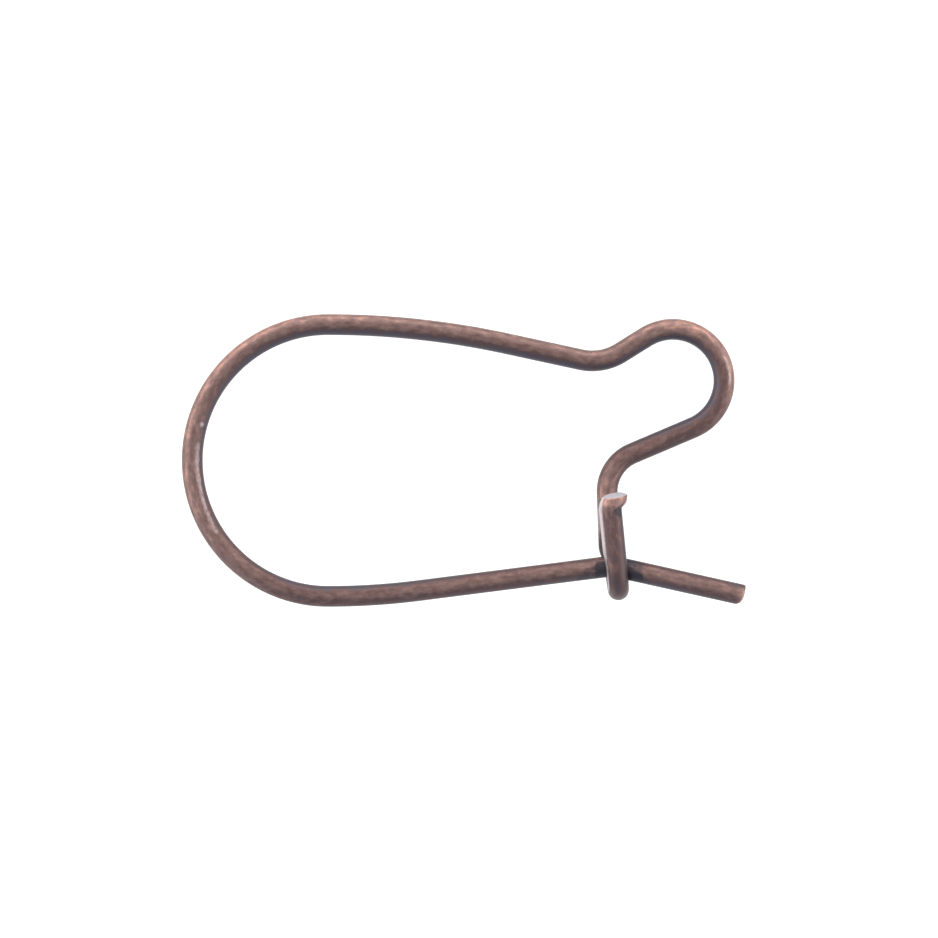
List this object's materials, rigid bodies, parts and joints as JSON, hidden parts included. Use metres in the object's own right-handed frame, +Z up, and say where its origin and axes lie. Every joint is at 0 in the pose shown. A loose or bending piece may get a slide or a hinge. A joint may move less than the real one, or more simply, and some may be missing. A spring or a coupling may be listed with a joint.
{
  "type": "kidney ear wire",
  "caption": "Ear wire bent from round wire to a long kidney-shaped loop, with a pendant loop and a straight pin that closes in a bent catch with a flared lip.",
  "frame": {"origin": "middle of the part's outline seen from above, on the surface it lies on", "axes": "+X along the part from the ear bend to the tip of the pin, +Y towards the upper arm, +Z up off the surface it lies on"},
  "size_m": [0.0214, 0.0112, 0.0026],
  "materials": {
    "antique_copper": "antique copper plating, darkened and rubbed back, satin"
  },
  "bodies": {
    "root": {"ear_wire": "antique_copper"}
  },
  "joints": []
}
